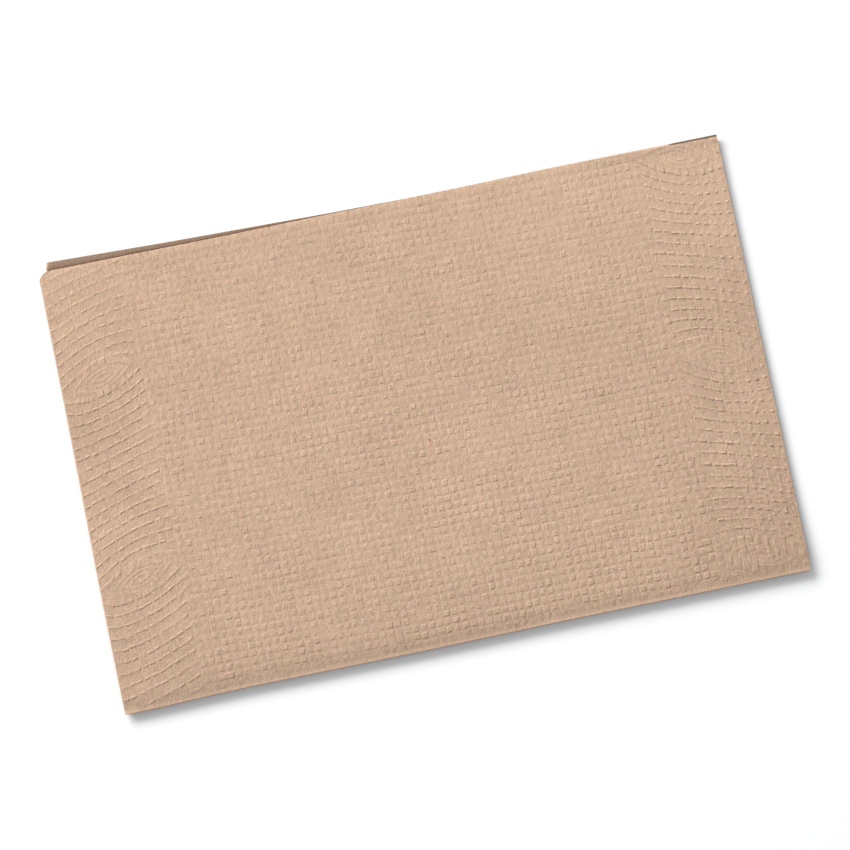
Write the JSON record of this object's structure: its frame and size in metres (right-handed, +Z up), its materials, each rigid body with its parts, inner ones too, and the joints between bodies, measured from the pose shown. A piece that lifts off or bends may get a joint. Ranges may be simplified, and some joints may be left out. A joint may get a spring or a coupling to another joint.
{
  "type": "folded paper napkin",
  "caption": "Quarter-folded paper napkin in unbleached brown paper, lying flat, with a folded left edge, a folded near edge and open far and right edges.",
  "frame": {"origin": "under the middle of the folded napkin, on the surface it lies on", "axes": "+X along the long edge, away from the first fold; +Y from the last fold to the open long edge; +Z up"},
  "size_m": [0.165, 0.1104, 0.0021],
  "materials": {
    "kraft_paper": "matte, embossed, unbleached"
  },
  "bodies": {
    "root": {"napkin": "kraft_paper"}
  },
  "joints": []
}
